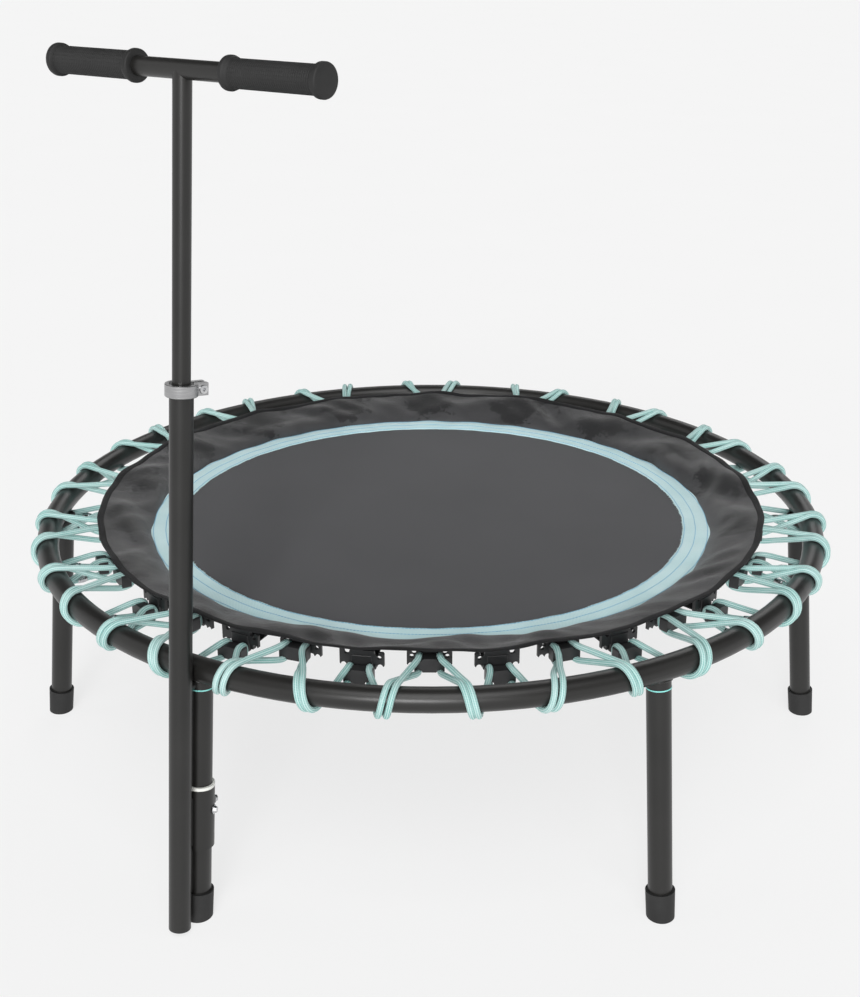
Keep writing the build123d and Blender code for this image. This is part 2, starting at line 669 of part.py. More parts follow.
def strand(route):
    """One strand of a loop as a plain round cord."""
    with BuildPart() as cord:
        with BuildLine():
            path = FilletPolyline(*route, radius=CORD_BEND)
        with BuildSketch(Plane(origin=path @ 0, z_dir=path % 0)):
            Circle(CORD_RADIUS)
        sweep()
    return cord.part


loops = []
for step in range(CLIP_COUNT):
    for side in (1, -1):
        loops.append((CLIP_STEP * step + side * CLIP_STEP / 4, side))

group_size = ceil(len(loops) / LOOP_GROUPS)
for group in range(LOOP_GROUPS):
    with BuildPart() as bungee_loops:
        for wrap, side in loops[group * group_size:(group + 1) * group_size]:
            for which in (1, -1):
                add(strand(strand_route(wrap, side, which)))
    save(bungee_loops, f"bungee_loops_{group + 1}")

with BuildPart() as loop_crimps:
    for wrap, side in loops:
        route = strand_route(wrap, side, -1)
        inward = (route[2] - route[3]).normalized()
        with BuildSketch(Plane(origin=route[3] + inward * CRIMP_PLACE, z_dir=inward)):
            Circle(CRIMP_RADIUS)
            Circle(CORD_RADIUS + CLEARANCE, mode=Mode.SUBTRACT)
        extrude(amount=CRIMP_LENGTH)
save(loop_crimps, "loop_crimps")
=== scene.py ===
"""Looks of the mini trampoline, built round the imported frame. Metres, +Z up."""
import json
from math import acos, atan2, cos, degrees, hypot, pi, radians, sin
from random import Random

import bmesh
import bpy
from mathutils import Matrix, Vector


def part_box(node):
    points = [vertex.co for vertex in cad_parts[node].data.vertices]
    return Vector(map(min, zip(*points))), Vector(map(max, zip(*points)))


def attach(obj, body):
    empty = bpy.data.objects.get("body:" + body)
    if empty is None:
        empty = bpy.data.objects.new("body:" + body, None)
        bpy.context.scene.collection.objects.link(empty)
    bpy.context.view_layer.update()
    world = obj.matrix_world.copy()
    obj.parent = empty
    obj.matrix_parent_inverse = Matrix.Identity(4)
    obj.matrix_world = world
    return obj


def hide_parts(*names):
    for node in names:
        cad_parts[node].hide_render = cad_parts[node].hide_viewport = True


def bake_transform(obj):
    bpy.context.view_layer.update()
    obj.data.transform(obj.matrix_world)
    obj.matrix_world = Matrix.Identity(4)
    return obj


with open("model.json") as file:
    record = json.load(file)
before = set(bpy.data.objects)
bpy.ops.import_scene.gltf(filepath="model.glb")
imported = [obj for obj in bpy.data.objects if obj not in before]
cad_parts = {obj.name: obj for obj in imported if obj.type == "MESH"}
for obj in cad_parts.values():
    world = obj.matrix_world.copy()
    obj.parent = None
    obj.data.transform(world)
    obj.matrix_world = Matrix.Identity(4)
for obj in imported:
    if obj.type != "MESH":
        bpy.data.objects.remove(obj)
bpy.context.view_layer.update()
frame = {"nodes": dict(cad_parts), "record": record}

nodes = frame["nodes"]
seeded = Random(18)

# --- sizes, from the frame and from what the design uses ----------------------------
ring_low, ring_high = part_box("frame_ring")
RING_HEIGHT = (ring_low.z + ring_high.z) / 2
TUBE_RADIUS = (ring_high.z - ring_low.z) / 2
RING_RADIUS = ring_high.x - TUBE_RADIUS
mat_low, mat_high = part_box("jump_mat")
MAT_RADIUS = mat_high.x
MAT_TOP = mat_high.z
webbing_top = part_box("mat_webbing")[1].z
WEBBING_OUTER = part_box("mat_webbing")[1].x
WEBBING_WIDTH = 0.034
hem_low, hem_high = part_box("skirt_hem")
HEM_RADIUS = hem_high.x - 0.002
HEM_HEIGHT = (hem_low.z + hem_high.z) / 2

CLIP_COUNT = 18
CLIP_STEP = 360 / CLIP_COUNT
CLIP_BAR_DEPTH = 0.012
upper_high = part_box("upper_clips")[1]
lower_low, lower_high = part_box("lower_clips")
UPPER_RADIUS = upper_high.x - CLIP_BAR_DEPTH / 2
LOWER_RADIUS = lower_high.y - CLIP_BAR_DEPTH / 2
UPPER_HEIGHT = 0.314
LOWER_HEIGHT = lower_low.z + 0.008
NOTCH_PLACE = 0.0115
STRAND_RISE = 0.009
CORD_RADIUS = 0.0036
CORD_SPACING = 0.0078
CORD_SLANT = 0.0085

SOCKET_TOP = RING_HEIGHT - 0.007
SPLAY = radians(6)
LEG_COUNT = 6
FIRST_LEG = -90
POLE_FOOT = Vector((0, -0.564309, 0.003553))
POLE_AXIS = Vector((0, sin(SPLAY), cos(SPLAY)))
BAR_ALONG = 0.935
BAR_TURN = -8


def polar(angle, radius, height=0.0):
    """A point by angle in degrees, radius and height."""
    return Vector((radius * cos(radians(angle)), radius * sin(radians(angle)), height))


# --- small node and mesh helpers -----------------------------------------------------
class Shader:
    """A material's node tree, with short ways to add nodes and links."""

    def __init__(self, name, colour, roughness, metallic=0.0):
        self.material = bpy.data.materials.new(name)
        self.material.use_nodes = True
        self.tree = self.material.node_tree
        self.main = self.tree.nodes["Principled BSDF"]
        self.set(Base_Color=(*colour, 1), Roughness=roughness, Metallic=metallic)

    def set(self, **values):
        for name, value in values.items():
            self.main.inputs[name.replace("_", " ")].default_value = value

    def node(self, kind, **settings):
        made = self.tree.nodes.new(kind)
        for name, value in settings.items():
            setattr(made, name, value)
        return made

    def link(self, source, target):
        self.tree.links.new(source, target)

    def coordinates(self, kind="Object"):
        return self.node("ShaderNodeTexCoord").outputs[kind]

    def noise(self, scale, detail=3.0, source=None, roughness=0.5):
        made = self.node("ShaderNodeTexNoise")
        made.inputs["Scale"].default_value = scale
        made.inputs["Detail"].default_value = detail
        made.inputs["Roughness"].default_value = roughness
        self.link(source or self.coordinates(), made.inputs["Vector"])
        return made.outputs["Fac"]

    def math(self, operation, first, second=None, third=None):
        made = self.node("ShaderNodeMath", operation=operation)
        for socket, value in zip(made.inputs, (first, second, third)):
            if value is None:
                continue
            if isinstance(value, (int, float)):
                socket.default_value = value
            else:
                self.link(value, socket)
        return made.outputs[0]

    def ramp(self, factor, stops):
        made = self.node("ShaderNodeValToRGB")
        elements = made.color_ramp.elements
        while len(elements) < len(stops):
            elements.new(0.5)
        for element, (place, colour) in zip(elements, stops):
            element.position = place
            element.color = (*colour, 1)
        self.link(factor, made.inputs["Fac"])
        return made.outputs["Color"]

    def span(self, factor, low, high):
        made = self.node("ShaderNodeMapRange")
        made.inputs["To Min"].default_value = low
        made.inputs["To Max"].default_value = high
        self.link(factor, made.inputs["Value"])
        return made.outputs["Result"]

    def colour(self, source):
        self.link(source, self.main.inputs["Base Color"])

    def rough(self, source):
        self.link(source, self.main.inputs["Roughness"])

    def bump(self, height, strength, distance=0.0005):
        made = self.node("ShaderNodeBump")
        made.inputs["Strength"].default_value = strength
        made.inputs["Distance"].default_value = distance
        self.link(height, made.inputs["Height"])
        self.link(made.outputs["Normal"], self.main.inputs["Normal"])


def polar_parts(shader):
    """Radius and angle of the shading point about the Z axis, as sockets."""
    split = shader.node("ShaderNodeSeparateXYZ")
    shader.link(shader.coordinates(), split.inputs[0])
    x, y = split.outputs["X"], split.outputs["Y"]
    squares = shader.math("ADD", shader.math("MULTIPLY", x, x), shader.math("MULTIPLY", y, y))
    return shader.math("SQRT", squares), shader.math("ARCTAN2", y, x)


def wave(shader, source, per_unit):
    """A sine of a socket, from 0 to 1."""
    swing = shader.math("SINE", shader.math("MULTIPLY", source, per_unit * 2 * pi))
    return shader.math("MULTIPLY_ADD", swing, 0.5, 0.5)


def new_piece(name, points, faces, material, smooth=True, coordinates=None):
    """A mesh object from points, faces and, if given, a UV pair for each point."""
    mesh = bpy.data.meshes.new(name)
    mesh.from_pydata([tuple(p) for p in points], [], faces)
    mesh.validate()
    editable = bmesh.new()
    editable.from_mesh(mesh)
    bmesh.ops.recalc_face_normals(editable, faces=editable.faces)
    editable.to_mesh(mesh)
    editable.free()
    if coordinates:
        layer = mesh.uv_layers.new(name="UVMap")
        for loop in mesh.loops:
            layer.data[loop.index].uv = coordinates[loop.vertex_index]
    for polygon in mesh.polygons:
        polygon.use_smooth = smooth
    mesh.materials.append(material)
    made = bpy.data.objects.new(name, mesh)
    bpy.context.scene.collection.objects.link(made)
    return made


class Collector:
    """Gathers points and faces of many small solids into one mesh."""

    def __init__(self):
        self.points, self.faces, self.uvs = [], [], []

    def add(self, points, faces, uvs=None):
        base = len(self.points)
        self.points += points
        self.uvs += uvs or [(0.0, 0.0)] * len(points)
        self.faces += [tuple(base + i for i in face) for face in faces]

    def piece(self, name, material, smooth=True):
        return new_piece(name, self.points, self.faces, material, smooth, self.uvs)


def grid_faces(rows, columns, close_rows=False, close_columns=False):
    """Quads over a grid of rows by columns, joined round if asked."""
    faces = []
    for i in range(rows if close_rows else rows - 1):
        for j in range(columns if close_columns else columns - 1):
            a, b = i, (i + 1) % rows
            c, d = j, (j + 1) % columns
            faces.append((a * columns + c, b * columns + c, b * columns + d, a * columns + d))
    return faces


def tube_mesh(path, radius, sides=12, closed=False):
    """Points, faces and UVs of a round tube along a list of points. A function may give the radius."""
    count = len(path)
    points, uvs = [], []
    length = 0.0
    normal = None
    for i, here in enumerate(path):
        before = path[i - 1] if closed or i else here
        after = path[(i + 1) % count] if closed or i < count - 1 else here
        along = (after - before).normalized()
        if normal is None:
            normal = along.orthogonal().normalized()
        normal = (normal - along * normal.dot(along)).normalized()
        across = along.cross(normal)
        size = radius(i / (count - 1)) if callable(radius) else radius
        if i:
            length += (here - path[i - 1]).length
        for j in range(sides):
            turn = 2 * pi * j / sides
            points.append(here + (normal * cos(turn) + across * sin(turn)) * size)
            uvs.append((length, j / sides))
    faces = grid_faces(count, sides, closed, True)
    if not closed:
        faces.append(tuple(range(sides))[::-1])
        faces.append(tuple((count - 1) * sides + j for j in range(sides)))
    return points, faces, uvs


def lathe(origin, axis, profile, segments=64, shape=None):
    """Points and faces of a profile of (along, radius) pairs turned about an axis."""
    axis = axis.normalized()
    first = axis.orthogonal().normalized()
    second = axis.cross(first)
    points = []
    for along, radius in profile:
        for j in range(segments):
            turn = 2 * pi * j / segments
            size = shape(along, radius, turn) if shape else radius
            points.append(origin + axis * along + (first * cos(turn) + second * sin(turn)) * size)
    return points, grid_faces(len(profile), segments, False, True)


# --- materials ------------------------------------------------------------------------
def paint_material():
    shader = Shader("frame_paint", (0.014, 0.0135, 0.0125), 0.36)
    shader.set(Specular_IOR_Level=0.42, Coat_Weight=0.1, Coat_Roughness=0.25)
    grain = shader.noise(2600, 2)
    patches = shader.noise(14, 3)
    shader.colour(shader.ramp(patches, [(0.3, (0.0095, 0.0092, 0.0085)), (0.75, (0.014, 0.0134, 0.0125))]))
    shader.rough(shader.span(patches, 0.34, 0.42))
    shader.bump(grain, 0.12, 0.0002)
    return shader.material


def rubber_material():
    shader = Shader("black_rubber", (0.028, 0.028, 0.029), 0.62)
    shader.set(Specular_IOR_Level=0.4)
    grain = shader.noise(1500, 4)
    patches = shader.noise(40, 3)
    shader.colour(shader.ramp(patches, [(0.25, (0.011, 0.011, 0.011)), (0.8, (0.02, 0.02, 0.02))]))
    shader.rough(shader.span(patches, 0.55, 0.72))
    shader.bump(grain, 0.25, 0.0002)
    return shader.material


def plastic_material(name, colour, light, roughness):
    shader = Shader(name, colour, roughness)
    grain = shader.noise(1900, 3)
    patches = shader.noise(60, 2)
    shader.colour(shader.ramp(patches, [(0.3, colour), (0.8, light)]))
    shader.rough(shader.span(patches, roughness - 0.06, roughness + 0.08))
    shader.bump(grain, 0.15, 0.0002)
    return shader.material


def steel_material():
    shader = Shader("steel_hardware", (0.56, 0.57, 0.58), 0.24, 1.0)
    patches = shader.noise(180, 4)
    shader.colour(shader.ramp(patches, [(0.3, (0.42, 0.43, 0.45)), (0.7, (0.66, 0.66, 0.66))]))
    shader.rough(shader.span(patches, 0.18, 0.36))
    shader.bump(patches, 0.1, 0.0002)
    return shader.material


def aluminium_material():
    shader = Shader("collar_aluminium", (0.6, 0.6, 0.6), 0.34, 1.0)
    shader.set(Anisotropic=0.4)
    stretched = shader.node("ShaderNodeMapping")
    stretched.inputs["Scale"].default_value = (60, 60, 2600)
    shader.link(shader.coordinates(), stretched.inputs["Vector"])
    lines = shader.noise(1, 3, stretched.outputs["Vector"])
    shader.colour(shader.ramp(lines, [(0.3, (0.3, 0.3, 0.31)), (0.7, (0.48, 0.48, 0.48))]))
    shader.rough(shader.span(lines, 0.26, 0.4))
    shader.bump(lines, 0.12, 0.0002)
    return shader.material


def cord_material():
    """Smooth woven sheath with fine ribs along the cord, and painted shade in the grooves between them: a
    darker, more saturated teal.
    """
    shader = Shader("mint_cord", (0.42, 0.74, 0.68), 0.5)
    shader.set(Sheen_Weight=0.08, Sheen_Roughness=0.3, Specular_IOR_Level=0.4)
    split = shader.node("ShaderNodeSeparateXYZ")
    shader.link(shader.coordinates("UV"), split.inputs[0])
    along, around = split.outputs["X"], split.outputs["Y"]
    ribs = wave(shader, around, 9)
    threads = wave(shader, shader.math("MULTIPLY_ADD", along, 420, shader.math("MULTIPLY", around, 3)), 1)
    height = shader.math("MULTIPLY_ADD", threads, 0.15, shader.math("MULTIPLY", ribs, 0.85))
    patches = shader.noise(26, 3)
    mixed = shader.math("MULTIPLY_ADD", height, 0.6, shader.math("MULTIPLY", patches, 0.4))
    # Painted shade: the low stop, a dark saturated teal, falls in the grooves between the ribs.
    shader.colour(shader.ramp(mixed, [(0.18, (0.12, 0.37, 0.335)), (0.44, (0.35, 0.55, 0.53)),
                                      (0.8, (0.52, 0.67, 0.655))]))
    shader.bump(height, 0.3, 0.0003)
    return shader.material


def webbing_material():
    """Flat mint webbing: a twill of short slanting ribs round the ring."""
    shader = Shader("mint_webbing", (0.42, 0.66, 0.68), 0.75)
    shader.set(Sheen_Weight=0.3, Sheen_Roughness=0.5, Specular_IOR_Level=0.2)
    radius, angle = polar_parts(shader)
    round_way = wave(shader, shader.math("MULTIPLY_ADD", radius, 320, shader.math("MULTIPLY", angle, 190)), 1)
    back_way = wave(shader, shader.math("MULTIPLY_ADD", radius, -420, shader.math("MULTIPLY", angle, 140)), 1)
    twill = shader.math("MULTIPLY_ADD", round_way, 0.6, shader.math("MULTIPLY", back_way, 0.4))
    patches = shader.noise(22, 4)
    mixed = shader.math("MULTIPLY_ADD", twill, 0.6, shader.math("MULTIPLY", patches, 0.4))
    shader.colour(shader.ramp(mixed, [(0.15, (0.36, 0.59, 0.62)), (0.5, (0.53, 0.74, 0.76)),
                                      (0.85, (0.72, 0.88, 0.89))]))
    shader.bump(twill, 0.4, 0.0004)
    return shader.material


def mat_material():
    """Dark grey woven mat, open enough to let a little of what is under it show."""
    shader = Shader("mat_weave", (0.05, 0.05, 0.053), 0.72)
    shader.set(Sheen_Weight=0.12, Sheen_Roughness=0.5, Specular_IOR_Level=0.25, Alpha=0.95)
    split = shader.node("ShaderNodeSeparateXYZ")
    shader.link(shader.coordinates(), split.inputs[0])
    warp = wave(shader, split.outputs["X"], 700)
    weft = wave(shader, split.outputs["Y"], 700)
    weave = shader.math("MULTIPLY", warp, weft)
    patches = shader.noise(6, 5)
    mixed = shader.math("MULTIPLY_ADD", weave, 0.3, shader.math("MULTIPLY", patches, 0.7))
    shader.colour(shader.ramp(mixed, [(0.2, (0.05, 0.05, 0.0545)), (0.75, (0.067, 0.067, 0.0725))]))
    shader.bump(weave, 0.25, 0.0003)
    return shader.material


def skirt_material():
    """Thin black nylon: fine creases, a soft sheen, and painted shade in ragged patches where it lies on a
    clip.
    """
    shader = Shader("skirt_nylon", (0.035, 0.034, 0.036), 0.5)
    shader.set(Sheen_Weight=0.3, Sheen_Roughness=0.35, Specular_IOR_Level=0.4, Alpha=0.95)
    radius, angle = polar_parts(shader)
    weave = shader.math("MULTIPLY", wave(shader, radius, 1600), wave(shader, angle, 640))
    patches = shader.noise(16, 5)
    creases = shader.noise(48, 4, roughness=0.6)
    nylon_colour = shader.ramp(patches, [(0.25, (0.024, 0.024, 0.0255)), (0.75, (0.053, 0.053, 0.0555))])
    # Painted shade: ragged near-black patches over each clip, more of them towards the skirt's outer edge,
    # mixed over the nylon's colour.
    over_clip = wave(shader, shader.math("ADD", angle, radians(CLIP_STEP / 4)), 360 / CLIP_STEP / (2 * pi))
    ragged = shader.math("ADD", shader.math("MULTIPLY", over_clip, 0.32), shader.noise(42, 5, roughness=0.7))
    outward = shader.math("MULTIPLY", shader.math("SUBTRACT", radius, 0.386), 9.0)
    clip_shade_level = shader.math("ADD", ragged, shader.math("MINIMUM", shader.math("MAXIMUM", outward, -0.2), 0.12))
    painted_clip_shade = shader.ramp(clip_shade_level, [(0.745, (0, 0, 0)), (0.77, (1, 1, 1))])
    mixed = shader.node("ShaderNodeMix", data_type="RGBA")
    shader.link(painted_clip_shade, mixed.inputs["Factor"])
    shader.link(nylon_colour, mixed.inputs[6])
    # The near-black colour of the painted shade over the clips.
    mixed.inputs[7].default_value = (0.012, 0.012, 0.013, 1)
    shader.colour(mixed.outputs[2])
    shader.rough(shader.span(creases, 0.4, 0.6))
    height = shader.math("MULTIPLY_ADD", creases, 0.9, shader.math("MULTIPLY", weave, 0.1))
    shader.bump(height, 0.6, 0.002)
    return shader.material


def tape_material(name, colour, light, per_radian):
    """Black woven tape with ribs across it."""
    shader = Shader(name, colour, 0.75)
    shader.set(Sheen_Weight=0.06, Sheen_Roughness=0.4, Specular_IOR_Level=0.22)
    radius, angle = polar_parts(shader)
    ribs = wave(shader, angle, per_radian)
    patches = shader.noise(25, 3)
    mixed = shader.math("MULTIPLY_ADD", ribs, 0.4, shader.math("MULTIPLY", patches, 0.6))
    shader.colour(shader.ramp(mixed, [(0.2, colour), (0.8, light)]))
    shader.bump(ribs, 0.4, 0.0004)
    return shader.material


def thread_material():
    shader = Shader("blue_thread", (0.15, 0.43, 0.6), 0.6)
    shader.set(Sheen_Weight=0.3)
    twist = shader.noise(2400, 2)
    shader.colour(shader.ramp(twist, [(0.3, (0.11, 0.36, 0.54)), (0.7, (0.22, 0.5, 0.66))]))
    shader.bump(twist, 0.3, 0.0002)
    return shader.material


def floor_material():
    """Pale floor that glows a little, so that shadows on it stay light."""
    shader = Shader("studio_floor", (0.2, 0.2, 0.2), 0.9)
    shader.set(Specular_IOR_Level=0.0, Emission_Color=(1, 1, 1, 1), Emission_Strength=0.738)
    patches = shader.noise(3, 2)
    shader.colour(shader.ramp(patches, [(0.3, (0.198, 0.198, 0.198)), (0.7, (0.202, 0.202, 0.202))]))
    return shader.material


paint = paint_material()
rubber = rubber_material()
black_plastic = plastic_material("black_plastic", (0.012, 0.012, 0.013), (0.022, 0.022, 0.023), 0.42)
mint_plastic = plastic_material("mint_plastic", (0.2, 0.62, 0.58), (0.3, 0.7, 0.66), 0.4)
white_plastic = plastic_material("white_plastic", (0.72, 0.73, 0.69), (0.8, 0.8, 0.76), 0.45)
steel = steel_material()
aluminium = aluminium_material()
cord = cord_material()
webbing = webbing_material()
mat_weave = mat_material()
nylon = skirt_material()
hem_tape = tape_material("hem_tape", (0.006, 0.006, 0.0065), (0.013, 0.013, 0.014), 420)
strap_tape = tape_material("strap_webbing", (0.014, 0.014, 0.015), (0.034, 0.034, 0.035), 260)
thread = thread_material()

node_materials = {
    "frame_paint": paint,
    "black_rubber": rubber,
    "black_plastic": black_plastic,
    "mint_plastic": mint_plastic,
    "white_plastic": white_plastic,
    "steel_hardware": steel,
    "collar_aluminium": aluminium,
    "strap_webbing": strap_tape,
}
for entry in frame["record"]["subparts"]:
    finish_name = entry["material_slot"]
    if finish_name in node_materials:
        mesh = nodes[entry["node"]].data
        mesh.materials.clear()
        mesh.materials.append(node_materials[finish_name])


# --- camera, light and floor ------------------------------------------------------------
CAMERA_PLACE = (0.9287, -1.5986, 1.0928)
CAMERA_PITCH = 22.47
CAMERA_HEADING = 30.18
CAMERA_LENS = 53.44

camera_data = bpy.data.cameras.new("camera")
camera_data.lens = CAMERA_LENS
camera_data.sensor_width = 36
camera = bpy.data.objects.new("camera", camera_data)
camera.location = CAMERA_PLACE
camera.rotation_euler = (radians(90 - CAMERA_PITCH), 0, radians(CAMERA_HEADING))
bpy.context.scene.collection.objects.link(camera)
bpy.context.scene.camera = camera
bpy.context.scene.view_settings.view_transform = "Standard"


def soft_light(name, heading, height, spread, strength):
    """Broad even light from a heading round the object and a height, both in degrees."""
    data = bpy.data.lights.new(name, "SUN")
    data.angle = radians(spread)
    data.energy = strength
    made = bpy.data.objects.new(name, data)
    made.rotation_euler = (radians(90 - height), 0, radians(heading))
    bpy.context.scene.collection.objects.link(made)


soft_light("front_light", 24, 19, 18, 1.95)
soft_light("right_light", 104, 38, 45, 0.25)
soft_light("left_light", -62, 32, 40, 0.3)
soft_light("top_light", 30, 58, 40, 1.35)
soft_light("back_light", 196, 36, 30, 0.4)


def studio_world():
    """Pale low down, where walls would stand, and dim overhead."""
    world = bpy.data.worlds.new("studio")
    world.use_nodes = True
    tree = world.node_tree
    split = tree.nodes.new("ShaderNodeSeparateXYZ")
    fade = tree.nodes.new("ShaderNodeValToRGB")
    low, high = fade.color_ramp.elements
    low.position, low.color = 0.17, (0.925, 0.925, 0.925, 1)
    high.position, high.color = 0.28, (0.09, 0.09, 0.09, 1)
    tree.links.new(tree.nodes.new("ShaderNodeTexCoord").outputs["Generated"], split.inputs[0])
    tree.links.new(split.outputs["Z"], fade.inputs["Fac"])
    tree.links.new(fade.outputs["Color"], tree.nodes["Background"].inputs["Color"])
    bpy.context.scene.world = world


studio_world()

reach = 400.0
studio_floor = new_piece(
    "studio_floor",
    [(-reach, -reach, 0), (reach, -reach, 0), (reach, reach, 0), (-reach, reach, 0)],
    [(0, 1, 2, 3)],
    floor_material(),
)


# --- mat and webbing ------------------------------------------------------------------------
def periodic_noise(frequencies, size, seed):
    """A smooth function of an angle in radians, made of a few seeded waves."""
    source = Random(seed)
    waves = [(n, source.uniform(0, 2 * pi), source.uniform(0.5, 1.0)) for n in frequencies]
    total = sum(w[2] for w in waves)
    return lambda angle: size * sum(w * cos(n * angle + p) for n, p, w in waves) / total


def edge_pull(angle):
    """How far the clips pull the mat's edge out of round, at an angle in radians."""
    return 0.0012 * cos(CLIP_COUNT * angle) + 0.0005 * cos(2 * CLIP_COUNT * angle)


def annulus(radii, height, segments):
    """Points on circles pulled a little out of round, with their height from a function."""
    points = []
    for radius in radii:
        for j in range(segments):
            angle = 2 * pi * j / segments
            grown = radius + edge_pull(angle) * (radius / WEBBING_OUTER) ** 8
            points.append(Vector((grown * cos(angle), grown * sin(angle), height(radius, angle))))
    return points


def make_mat():
    segments, rings = 216, 40
    radii = [MAT_RADIUS * k / rings for k in range(1, rings + 1)]
    ripple = periodic_noise(range(3, 12), 0.0006, 5)
    dish, settled, thickness = 0.001, 0.0001, 0.0012

    def top(radius, angle):
        share = radius / MAT_RADIUS
        return MAT_TOP - dish * (1 - share ** 2) + ripple(angle) * share ** 4 * (1 - share) * 4 - settled

    points = annulus(radii, top, segments)
    under = [Vector((p.x, p.y, p.z - thickness)) for p in points]
    total = len(points)
    faces = grid_faces(len(radii), segments, False, True)
    faces = [tuple(reversed(f)) for f in faces]
    faces += [tuple(total + i for i in reversed(f)) for f in faces]
    points += under
    centre_top, centre_under = len(points), len(points) + 1
    middle_height = MAT_TOP - dish - settled
    points += [Vector((0, 0, middle_height)), Vector((0, 0, middle_height - thickness))]
    last = (len(radii) - 1) * segments
    for j in range(segments):
        after = (j + 1) % segments
        faces.append((centre_top, j, after))
        faces.append((centre_under, total + after, total + j))
        faces.append((last + j, total + last + j, total + last + after, last + after))
    piece = new_piece("mat_sheet", points, faces, mat_weave)
    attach(piece, "mat")
    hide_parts("jump_mat")
    return piece


def webbing_ripple(angle):
    return 0.0004 * cos(2 * CLIP_COUNT * angle) + 0.0003 * cos(29 * angle + 1.3)


def make_webbing():
    """The band over the mat's edge, a little wavy, with a rounded rim on both sides."""
    segments = 720
    inner_radius = WEBBING_OUTER - WEBBING_WIDTH
    wobble = periodic_noise((18, 25, 36, 54, 71), 0.0012, 9)
    profile = [(0.0, 0.0), (0.0, 0.0007), (0.0006, 0.0012), (0.006, 0.0013), (0.014, 0.0012),
               (0.022, 0.0013), (0.0334, 0.0012), (0.034, 0.0007), (0.034, 0.0)]
    points = []
    for across, rise in profile:
        share = across / WEBBING_WIDTH
        for j in range(segments):
            angle = 2 * pi * j / segments
            radius = inner_radius + across + wobble(angle) * (1 - share) + edge_pull(angle) * share
            height = MAT_TOP + rise + webbing_ripple(angle) * share * (1 if rise else 0)
            points.append(Vector((radius * cos(angle), radius * sin(angle), height)))
    faces = grid_faces(len(profile), segments, True, True)
    piece = new_piece("webbing_band", points, faces, webbing)
    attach(piece, "mat")
    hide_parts("mat_webbing")
    return wobble


def make_stitches(wobble):
    """Rows of thread on the webbing, each stitch a short flat bead."""
    inner_radius = WEBBING_OUTER - WEBBING_WIDTH
    rows = Collector()
    pitch, share_sewn, bead_radius, rise = 0.0042, 0.8, 0.0005, 0.00115
    for across in (0.0022, 0.0165, 0.0325):
        share = across / WEBBING_WIDTH
        count = int(2 * pi * (inner_radius + across) / pitch)
        for step in range(count):
            path = []
            for k in range(5):
                part = k / 4
                angle = 2 * pi * (step + share_sewn * (part - 0.5)) / count
                radius = inner_radius + across + wobble(angle) * (1 - share) * 0.6
                height = MAT_TOP + rise + 0.00035 * sin(pi * part) + webbing_ripple(angle) * share
                path.append(Vector((radius * cos(angle), radius * sin(angle), height)))
            rows.add(*tube_mesh(path, bead_radius, 6))
    piece = rows.piece("webbing_stitches", thread)
    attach(piece, "mat")


def make_fray(wobble):
    """Loose thread ends along the webbing's inner edge."""
    inner_radius = WEBBING_OUTER - WEBBING_WIDTH
    ends = Collector()
    end_count, end_radius = 900, 0.00022
    for _ in range(end_count):
        angle = seeded.uniform(0, 2 * pi)
        base = inner_radius + wobble(angle)
        length = seeded.uniform(0.0006, 0.0022)
        lean = seeded.uniform(-0.002, 0.002)
        path = []
        for k in range(3):
            part = k / 2
            radius = base + 0.0006 - length * part
            turn = angle + lean * part * part / base
            path.append(Vector((radius * cos(turn), radius * sin(turn), MAT_TOP + 0.0006 - 0.0003 * part)))
        ends.add(*tube_mesh(path, end_radius, 4))
    piece = ends.piece("webbing_fray", webbing)
    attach(piece, "mat")


# --- skirt and hem ------------------------------------------------------------------------------
skirt_folds = periodic_noise((5, 8, 11, 13, 17, 21), 0.0075, 21)
skirt_pleats = periodic_noise((19, 23, 31, 37, 44, 52), 0.0034, 22)
skirt_bulge = periodic_noise((3, 5, 7, 10), 1.0, 27)
hem_waves = periodic_noise((4, 7, 9, 13, 18, 27), 0.0032, 23)
hem_ripple = periodic_noise((31, 36, 45, 59), 0.0010, 24)
hem_reach = periodic_noise((5, 9, 18, 36), 0.0018, 25)
skirt_start = WEBBING_OUTER - 0.0002
skirt_end = HEM_RADIUS + 0.0012
SKIRT_FOOT = webbing_top - 0.0006
SKIRT_LIFT = 0.0055              # how far it bellies up between webbing and hem
CLIP_LIFT = 0.0016               # how far a clip raises its middle
SPILL_REACH, SPILL_LIFT = 0.018, 0.006   # where it folds over on to the webbing


def skirt_point(share, angle):
    """A point of the skirt's top face: share runs from the webbing, 0, to the hem, 1."""
    near_clip = cos(CLIP_COUNT * angle)
    end_radius = skirt_end + hem_reach(angle)
    start_radius = skirt_start + edge_pull(angle)
    radius = start_radius + (end_radius - start_radius) * share
    top = HEM_HEIGHT + hem_waves(angle) + hem_ripple(angle) + 0.0012 * near_clip
    straight = SKIRT_FOOT + (top - SKIRT_FOOT) * share
    belly = sin(pi * share)
    lift = SKIRT_LIFT * sin(pi * share ** 0.75)
    wave_height = (skirt_folds(angle + 0.25 * share) + skirt_pleats(angle - 0.18 * share)) * belly
    over_clips = CLIP_LIFT * near_clip * sin(pi * min(1.0, share * 0.9)) ** 2
    spill = max(0.0, skirt_bulge(angle) - 0.1) * sin(pi * min(1.0, share * 2.4))
    radius -= SPILL_REACH * spill
    height = straight + lift + wave_height + over_clips + SPILL_LIFT * spill
    least = SKIRT_FOOT + 0.0022 * min(1.0, 30 * spill) + 0.02 * max(0.0, share - 0.1)
    return Vector((radius * cos(angle), radius * sin(angle), max(height, least)))


